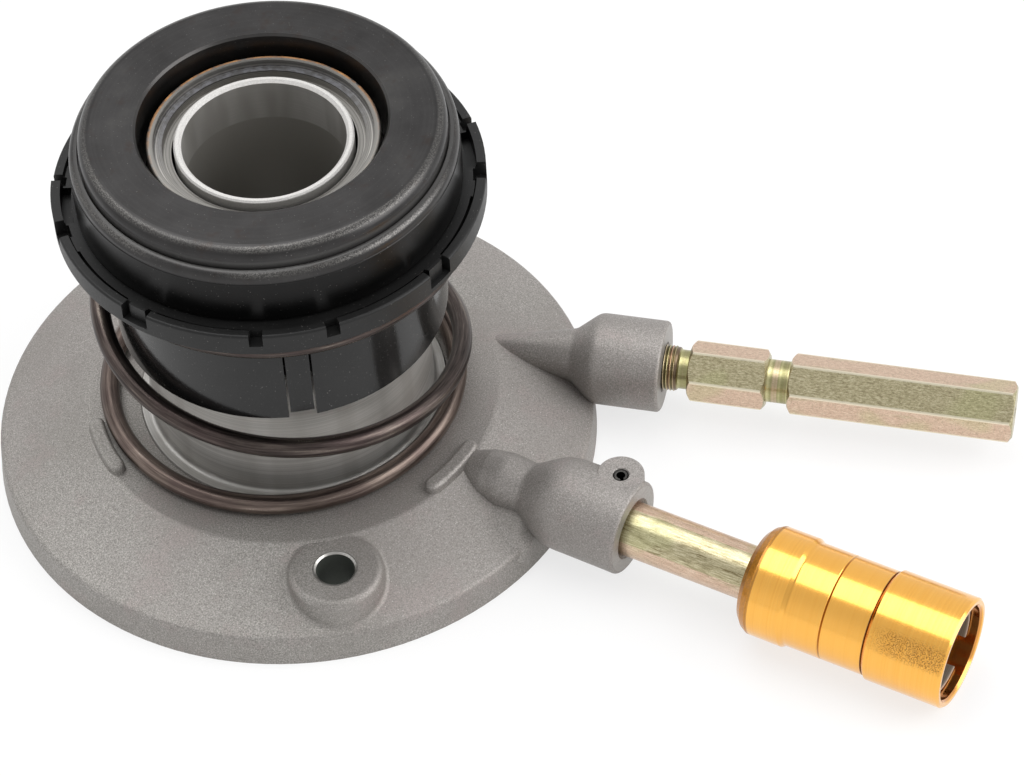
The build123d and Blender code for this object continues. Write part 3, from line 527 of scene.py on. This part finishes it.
def spring_steel():
    """Oil-hardened wire, brown with a purple cast and fine streaks along its length that carry painted
    glints, and painted light on the bottom coil.
    """
    f = Finish("spring_steel", 1.0, 0.38, shade(84, 70, 62))
    place = f.tree.nodes.new("ShaderNodeUVMap")
    place.uv_map = "wire"
    parts = f.tree.nodes.new("ShaderNodeSeparateXYZ")
    f.put(parts, 0, place.outputs[0])
    turn = f.maths("MULTIPLY", parts.outputs[1], math.tau)
    round_wire = f.tree.nodes.new("ShaderNodeCombineXYZ")
    f.put(round_wire, 0, f.maths("MULTIPLY", parts.outputs[0], STREAKS_ALONG))
    f.put(round_wire, 1, f.maths("MULTIPLY", f.maths("COSINE", turn), STREAKS_ROUND))
    f.put(round_wire, 2, f.maths("MULTIPLY", f.maths("SINE", turn), STREAKS_ROUND))
    streak = f.noise(1.0, 4.0, 0.7, round_wire.outputs[0])
    patch = f.noise(0.07, 3.0)
    fine = f.noise(2.6, 2.0)
    wire = f.ramp(streak, (0.30, shade(40, 36, 35)), (0.50, shade(76, 68, 65)), (0.68, shade(116, 107, 100)))
    # Painted light: the bottom coil is painted lighter than the free ones.
    low = f.rises(f.along(MAIN), SPRING_SEAT + 7.8, SPRING_SEAT + 2.8)
    bottom_coil_painted_light = f.ramp(streak, (0.3, shade(84, 72, 67)), (0.7, shade(150, 134, 124)))
    wire = f.mix(f.part(low, 0.6), wire, bottom_coil_painted_light)
    wire = f.mix(f.part(f.rises(patch, 0.42, 0.65), 0.4), wire, shade(78, 64, 64))
    # Painted glints along the wire's streaks.
    glint = f.both(f.rises(streak, 0.60, 0.68), f.rises(fine, 0.45, 0.6), f.blend(patch, 0.1, 0.8))
    wire = f.mix(glint, wire, shade(172, 162, 152))
    f.colour(wire)
    f.rough(f.blend(fine, 0.28, 0.44))
    f.bump(streak, 0.05, 0.7)
    return f.material


def yellow_plating(name, axis, pink, squeeze):
    """Zinc with a yellow passivation, which shifts from olive to pink, with a painted highlight along its
    corners.

    pink lists the sides that took the pink: an angle round the axis and how far out the pink starts.
    The smaller squeeze is, the longer the draw marks. What it gives back can take more marks.
    """
    f = Finish(name, 1.0, 0.3, shade(190, 175, 140))
    streak = f.noise(3.4, 4.0, 0.72, f.drawn(axis, squeeze))
    broad = f.noise(0.30, 2.0, 0.5, f.drawn(axis, 0.25))
    drift = f.noise(0.075, 1.0)
    fleck = f.noise(3.2, 2.0, 0.7)
    olive = f.ramp(
        streak,
        (0.32, shade(140, 130, 100)),
        (0.50, shade(188, 178, 144)),
        (0.68, shade(220, 212, 180)),
    )
    rose = f.ramp(
        streak,
        (0.28, shade(184, 154, 134)),
        (0.50, shade(214, 186, 163)),
        (0.72, shade(236, 214, 192)),
    )
    green = f.ramp(streak, (0.28, shade(158, 158, 112)), (0.72, shade(214, 216, 160)))
    rose = f.mix(f.part(f.rises(broad, 0.55, 0.75), 0.45), rose, olive)
    made = olive
    for angle, reach in pink:
        made = f.mix(f.rises(f.across(axis, angle), reach - 0.07, reach), made, rose)
    made = f.mix(f.part(f.rises(drift, 0.55, 0.68), 0.35), made, green)
    dull = f.part(f.rises(fleck, 0.52, 0.66), 0.40)
    made = f.mix(dull, made, shade(128, 120, 92))
    # Painted highlight along the hex's corners.
    corner = f.rises(f.radius(axis), HEX_CORNER - 0.14, HEX_CORNER)
    f.colour(f.mix(f.part(corner, 0.8), made, shade(240, 232, 208)))
    f.rough(f.blend(fleck, 0.22, 0.40))
    f.bump(streak, 0.012, 0.5)
    return f


def bleed_plating():
    """The bleed screw: pink flats beside olive ones, and pink and green rings at its neck and thread."""
    pink = [(angle, HEX_FLAT) for angle in PINK_FLATS]
    f = yellow_plating("yellow_plating", BLEED, pink, 0.3)
    station = f.along(BLEED)
    neck = f.either(f.rises(station, HEX_START + 0.05, HEX_START - 0.05), f.band(station, *HEX_NECK))
    hues = f.ramp(
        f.rings(BLEED, 0.55, 1.0),
        (0.30, shade(214, 150, 140)),
        (0.42, shade(206, 200, 150)),
        (0.55, shade(142, 140, 92)),
        (0.68, shade(222, 190, 170)),
    )
    made = f.mix(f.part(neck, 0.75), f.colour_so_far(), hues)
    root = f.rises(f.radius(BLEED), THREAD_CREST - 0.05, THREAD_ROOT + 0.1)
    cut = f.both(f.rises(station, THREAD_END + 0.1, THREAD_END - 0.1), root)
    f.colour(f.mix(f.part(cut, 0.8), made, shade(74, 62, 40)))
    return f.material


def tube_plating():
    """The supply tube: pink along its upper and lower sides, with a few dark draw marks."""
    f = yellow_plating("tube_plating", SUPPLY, TUBE_PINK, 0.1)
    mark = f.noise(1.5, 4.0, 0.75, f.drawn(SUPPLY, 0.10))
    facing = f.rises(f.across(SUPPLY, MARKED_SIDE), 4.6, 5.6)
    marked = f.both(facing, f.rises(mark, 0.52, 0.60), f.rises(f.noise(0.12, 1.0), 0.35, 0.55))
    f.colour(f.mix(f.part(marked, 0.75), f.colour_so_far(), shade(112, 98, 62)))
    return f.material


def gold_anodising():
    """Turned aluminium under orange gold: blasted at its back, brushed over, rubbed on one side, with painted
    shade along its crest, groove and seam lines and inside its mouth.
    """
    f = Finish("gold_anodising", 1.0, 0.2, shade(240, 165, 50))
    station = f.along(SUPPLY)
    lathe = f.rings(SUPPLY, 4.0)
    coarse = f.rings(SUPPLY, 0.9)
    grit = f.noise(2.6, 3.0, 0.7)
    gold = f.ramp(lathe, (0.3, shade(248, 180, 74)), (0.7, shade(252, 190, 90)))
    gold = f.mix(f.part(f.rises(coarse, 0.5, 0.7), 0.12), gold, shade(236, 164, 60))
    back = f.rises(station, COUPLING_BACK + 0.15, COUPLING_BACK - 0.15)
    crest = f.band(station, COUPLING_BACK - 0.05, COUPLING_BACK + 0.25, 0.12)
    groove = f.band(station, COUPLING_GROOVE - 0.15, COUPLING_GROOVE + 0.15, 0.08)
    seam = f.band(station, COUPLING_SPLIT - 0.1, COUPLING_SPLIT + 0.1, 0.06)
    scuff = f.noise(5.0, 1.0, 0.6)
    side = f.rises(f.across(SUPPLY, RUBBED_SIDE), *COUPLING_RUBBED)
    front = f.rises(station, COUPLING_SPLIT - 0.8, COUPLING_SPLIT + 6.7)
    rubbed = f.both(side, front, f.rises(scuff, 0.49, 0.56))
    gold = f.mix(f.part(rubbed, 0.8), gold, shade(128, 78, 22))
    gold = f.mix(f.part(back, 0.7), gold, f.ramp(grit, (0.3, BROWN_FILM_AND_LINE_SHADE), (0.7, shade(196, 126, 40))))
    # Painted shade along the crest, groove and seam lines.
    gold = f.mix(f.part(f.either(crest, groove), 0.5), gold, BROWN_FILM_AND_LINE_SHADE)
    gold = f.mix(f.part(seam, 0.8), gold, shade(150, 112, 66))
    # Painted shade inside the mouth: its walls take a darker brown.
    inside = f.both(
        f.rises(f.radius(SUPPLY), COUPLING_MOUTH, COUPLING_MOUTH - 0.2),
        f.rises(station, COUPLING_SPLIT - 0.3, COUPLING_SPLIT + 0.7),
    )
    gold = f.mix(f.part(inside, 0.75), gold, shade(206, 134, 70))
    f.colour(gold)
    f.rough(f.blend(f.either(back, rubbed), f.blend(lathe, 0.14, 0.24), 0.45))
    f.shader.inputs["Coat Weight"].default_value = 0.5
    f.shader.inputs["Coat Roughness"].default_value = 0.08
    f.bump(lathe, 0.006, 0.5)
    f.bump(f.both(grit, back), 0.09, 0.6)
    return f.material


def black_plastic():
    """Moulded cover: satin rim, glossy skirt, a little dust."""
    f = Finish("black_plastic", 0.0, 0.4, shade(20, 20, 21))
    skirt = f.both(
        f.rises(f.radius(MAIN), SKIRT_RADIUS + 0.5, SKIRT_RADIUS + 0.2),
        f.rises(f.along(MAIN), SPRING_CEILING, SPRING_CEILING - 0.3),
    )
    grain = f.noise(2.2, 3.0)
    cloud = f.noise(0.12, 2.0)
    black = f.ramp(cloud, (0.3, shade(12, 12, 12)), (0.7, shade(20, 20, 20)))
    f.colour(f.mix(f.part(f.specks(3.2, 0.80), 0.5), black, shade(120, 118, 115)))
    f.shader.inputs["Specular IOR Level"].default_value = 0.34
    f.rough(f.blend(skirt, f.blend(grain, 0.34, 0.52), f.blend(cloud, 0.08, 0.16)))
    f.bump(grain, 0.025, 0.4)
    return f.material


def slide_band():
    """Filled plastic of the slide band and the ball cage."""
    f = Finish("slide_band", 0.0, 0.5, shade(124, 108, 84))
    grain = f.noise(1.6, 3.0)
    f.colour(f.ramp(grain, (0.3, shade(112, 97, 75)), (0.7, shade(134, 117, 92))))
    f.bump(grain, 0.02, 0.4)
    return f.material


def seal_rubber():
    f = Finish("seal_rubber", 0.0, 0.6, shade(26, 26, 26))
    grain = f.noise(1.4, 3.0)
    f.colour(f.ramp(grain, (0.3, shade(22, 22, 22)), (0.7, shade(36, 36, 36))))
    f.rough(f.blend(grain, 0.5, 0.7))
    f.bump(grain, 0.02, 0.4)
    return f.material


def dress(node, material):
    """Gives a carried-over node its finish."""
    thing = frame["nodes"][node]
    thing.data.materials.clear()
    thing.data.materials.append(material)


# New pieces


def finished(thing, name, material, body):
    """Names a new piece, gives it its finish and the body that it moves with."""
    thing.name = name
    thing.data.name = name
    thing.data.materials.clear()
    thing.data.materials.append(material)
    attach(thing, body)


def wire_point(angle, free_end):
    """A point of the spring's wire, in millimetres: a closed coil, the free ones, a closed coil."""
    height = SPRING_SEAT + WIRE_RADIUS + (FREE_START - angle) / 360 * FREE_RISE
    height = min(SPRING_CEILING - WIRE_RADIUS, max(SPRING_SEAT + WIRE_RADIUS, height))

    def eased(past):
        share = min(1.0, max(0.0, past / SETTLE_TURN))
        return share * share * (3 - 2 * share)

    low_share = eased(angle - FREE_START + SETTLE_TURN)
    high_share = eased(free_end + SETTLE_TURN - angle)
    coil = [
        free + (lower - free) * low_share + (upper - free) * high_share
        for free, lower, upper in zip(FREE_COIL, LOWER_COIL, UPPER_COIL)
    ]
    turn = math.radians(angle)
    return coil[0] * math.cos(turn) + coil[1], coil[0] * math.sin(turn) + coil[2], height


def return_spring_line():
    """The return spring's wire, from its lower end to its upper one."""
    free_angle = (SPRING_CEILING - SPRING_SEAT - 2 * WIRE_RADIUS) / FREE_RISE * 360
    free_end = FREE_START - free_angle
    first = FREE_START + CLOSED_TURN
    last = free_end - CLOSED_TURN
    count = round((first - last) / TURN_STEP)
    return [wire_point(first + (last - first) * step / count, free_end) for step in range(count + 1)]


def valve_spring_line():
    """The wire of the spring behind the coupling's valve, from its inner end to its outer one."""
    start, along = SUPPLY
    level = UP.cross(along)
    first = VALVE_SPRING_LOW + VALVE_WIRE
    last = VALVE_SPRING_HIGH - VALVE_WIRE
    count = round(VALVE_TURNS * 360 / VALVE_STEP)
    line = []
    for step in range(count + 1):
        turn = math.tau * VALVE_TURNS * step / count
        station = first + (last - first) * step / count
        outwards = level * math.cos(turn) + UP * math.sin(turn)
        line.append(start + along * station + outwards * VALVE_COIL_RADIUS)
    return line


def wind(line, wire_radius):
    """A round wire along a line of points in millimetres, with closed ends."""
    bpy.ops.object.select_all(action="DESELECT")
    bpy.ops.curve.primitive_nurbs_path_add(location=(0, 0, 0))
    wire = bpy.context.object
    wire.data.splines.clear()
    spline = wire.data.splines.new("NURBS")
    spline.points.add(len(line) - 1)
    for point, spot in zip(spline.points, line):
        point.co = (*[c * MM for c in spot], 1)
    spline.order_u = 4
    spline.use_endpoint_u = True
    spline.resolution_u = 3
    wire.data.bevel_depth = wire_radius * MM
    wire.data.bevel_resolution = 6
    wire.data.use_fill_caps = True
    bpy.ops.object.convert(target="MESH")
    bpy.ops.object.shade_smooth_by_angle(angle=math.radians(40))
    return bpy.context.object


def cut_thread(material):
    """The part of the bleed screw's thread that shows: one ridge, turned with the screw modifier."""
    bpy.ops.object.select_all(action="DESELECT")
    bpy.ops.mesh.primitive_circle_add(vertices=3, radius=1.0, fill_type="NGON", location=(0, 0, 0))
    ridge = bpy.context.object
    width = THREAD_PITCH * 0.48
    corners = ((THREAD_ROOT, -width), (THREAD_CREST, 0.0), (THREAD_ROOT, width))
    for vertex, (reach, station) in zip(ridge.data.vertices, corners):
        vertex.co = (reach * MM, 0, (THREAD_START + station) * MM)
    screw = ridge.modifiers.new("thread", "SCREW")
    screw.axis = "Z"
    screw.angle = math.tau
    screw.screw_offset = THREAD_PITCH * MM
    screw.iterations = THREAD_TURNS
    screw.steps = 36
    screw.render_steps = 36
    bpy.ops.object.modifier_apply(modifier="thread")
    start, along = BLEED
    ridge.data.transform(Matrix.Translation(start * MM) @ along.to_track_quat("Z", "Y").to_matrix().to_4x4())
    bpy.ops.object.mode_set(mode="EDIT")
    bpy.ops.mesh.select_all(action="SELECT")
    bpy.ops.mesh.normals_make_consistent(inside=False)
    bpy.ops.object.mode_set(mode="OBJECT")
    finished(ridge, "bleed_thread", material, "bleed")


# Studio

FLOOR_SIDE = 6.0
FLOOR_WHITE = 0.72  # share of plain white in the floor, as the camera sees it
ROOM_LEVEL = 0.92
SHADE_LEVEL = 0.62  # the room's level behind the photographer
SHADE_REACH = (0.55, 0.97)  # cosines from the camera's direction between which the room darkens


def place_camera():
    made = bpy.data.cameras.new("camera")
    made.lens = LENS
    made.sensor_width = 36.0
    made.clip_start = 0.05
    made.clip_end = 20.0
    camera = bpy.data.objects.new("camera", made)
    bpy.context.scene.collection.objects.link(camera)
    turns = (
        Matrix.Rotation(math.radians(CAMERA_HEADING), 4, "Z")
        @ Matrix.Rotation(math.radians(CAMERA_TILT), 4, "X")
        @ Matrix.Rotation(math.radians(CAMERA_ROLL), 4, "Z")
    )
    camera.matrix_world = Matrix.Translation(CAMERA_PLACE) @ turns
    bpy.context.scene.camera = camera


def soft_light(name, place, aim, size, power):
    """A square lamp of the given side in metres, with its power in watts."""
    made = bpy.data.lights.new(name, "AREA")
    made.size = size
    made.energy = power
    lamp = bpy.data.objects.new(name, made)
    bpy.context.scene.collection.objects.link(lamp)
    lamp.location = place
    lamp.rotation_euler = (Vector(aim) - Vector(place)).to_track_quat("-Z", "Y").to_euler()


def seen_directly(tree):
    """1 for the rays that show the background: to the camera, or by way of a mirror or glass."""
    rays = tree.nodes.new("ShaderNodeLightPath")
    share = rays.outputs["Is Camera Ray"]
    for ray in ("Is Glossy Ray", "Is Transmission Ray"):
        either = tree.nodes.new("ShaderNodeMath")
        either.operation = "MAXIMUM"
        tree.links.new(share, either.inputs[0])
        tree.links.new(rays.outputs[ray], either.inputs[1])
        share = either.outputs[0]
    return share


def studio_floor():
    """A pale floor that keeps the shadow; the camera sees most of it as plain white."""
    bpy.ops.mesh.primitive_plane_add(size=FLOOR_SIDE, location=(0, 0, 0))
    floor = bpy.context.object
    floor.name = "floor"
    made = bpy.data.materials.new("studio_floor")
    made.use_nodes = True
    tree = made.node_tree
    shader = tree.nodes["Principled BSDF"]
    shader.inputs["Base Color"].default_value = (0.9, 0.9, 0.9, 1)
    shader.inputs["Roughness"].default_value = 0.9
    glow = tree.nodes.new("ShaderNodeEmission")
    part = tree.nodes.new("ShaderNodeMath")
    part.operation = "MULTIPLY"
    part.inputs[1].default_value = FLOOR_WHITE
    tree.links.new(seen_directly(tree), part.inputs[0])
    mixed = tree.nodes.new("ShaderNodeMixShader")
    tree.links.new(part.outputs[0], mixed.inputs[0])
    tree.links.new(shader.outputs[0], mixed.inputs[1])
    tree.links.new(glow.outputs[0], mixed.inputs[2])
    tree.links.new(mixed.outputs[0], tree.nodes["Material Output"].inputs["Surface"])
    floor.data.materials.append(made)


def studio_world():
    """An even room, darker behind the photographer, and white where the camera looks into it."""
    world = bpy.data.worlds.new("studio")
    bpy.context.scene.world = world
    world.use_nodes = True
    tree = world.node_tree
    background = tree.nodes["Background"]
    background.inputs["Color"].default_value = (1, 1, 1, 1)
    towards = tree.nodes.new("ShaderNodeVectorMath")
    towards.operation = "DOT_PRODUCT"
    tree.links.new(tree.nodes.new("ShaderNodeTexCoord").outputs["Generated"], towards.inputs[0])
    towards.inputs[1].default_value = Vector(CAMERA_PLACE).normalized()
    dark = tree.nodes.new("ShaderNodeMapRange")
    dark.interpolation_type = "SMOOTHSTEP"
    dark.inputs["From Min"].default_value, dark.inputs["From Max"].default_value = SHADE_REACH
    dark.inputs["To Min"].default_value = ROOM_LEVEL
    dark.inputs["To Max"].default_value = SHADE_LEVEL
    tree.links.new(towards.outputs["Value"], dark.inputs["Value"])
    rays = tree.nodes.new("ShaderNodeLightPath")
    level = tree.nodes.new("ShaderNodeMix")
    tree.links.new(rays.outputs["Is Camera Ray"], level.inputs[0])
    tree.links.new(dark.outputs["Result"], level.inputs[2])
    level.inputs[3].default_value = 1.0
    tree.links.new(level.outputs[0], background.inputs["Strength"])


def build_studio():
    studio_floor()
    studio_world()
    soft_light("key", place=(-0.20, 0.30, 1.20), aim=(0, 0, 0.03), size=1.0, power=7.0)
    soft_light("side", place=(0.85, -0.35, 0.55), aim=(0.03, -0.02, 0.02), size=0.8, power=6.5)
    bpy.context.scene.view_settings.view_transform = "Standard"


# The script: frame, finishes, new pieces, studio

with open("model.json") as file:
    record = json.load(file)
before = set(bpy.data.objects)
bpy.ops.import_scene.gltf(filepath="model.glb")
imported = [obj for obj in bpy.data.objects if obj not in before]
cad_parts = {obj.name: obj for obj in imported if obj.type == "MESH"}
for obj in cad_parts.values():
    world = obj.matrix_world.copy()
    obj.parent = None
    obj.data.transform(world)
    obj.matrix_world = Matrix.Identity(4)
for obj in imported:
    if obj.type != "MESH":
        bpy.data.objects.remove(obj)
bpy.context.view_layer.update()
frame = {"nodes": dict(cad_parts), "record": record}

place_camera()
build_studio()

finishes = {
    "cast_aluminium": cast_aluminium(),
    "sleeve_steel": sleeve_steel(),
    "bearing_steel": bearing_steel(),
    "carrier_steel": carrier_steel(),
    "ring_steel": ring_steel(),
    "clip_steel": clip_steel(),
    "yellow_plating": bleed_plating(),
    "gold_anodising": gold_anodising(),
    "spring_steel": spring_steel(),
    "black_plastic": black_plastic(),
    "seal_rubber": seal_rubber(),
    "slide_band": slide_band(),
    "piston_aluminium": turned_aluminium(),
    "ball_steel": polished_steel(),
}
for row in frame["record"]["subparts"]:
    dress(row["node"], finishes[row["material_slot"]])
dress("supply_tube", tube_plating())

spring = wind(return_spring_line(), WIRE_RADIUS)
spring.data.uv_layers[0].name = "wire"
finished(spring, "wound_spring", finishes["spring_steel"], "base")
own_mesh(spring)
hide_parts("return_spring")

spring = wind(valve_spring_line(), VALVE_WIRE)
finished(spring, "wound_valve_spring", finishes["clip_steel"], "base")
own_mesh(spring)
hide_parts("coupling_valve_spring")

cut_thread(finishes["yellow_plating"])
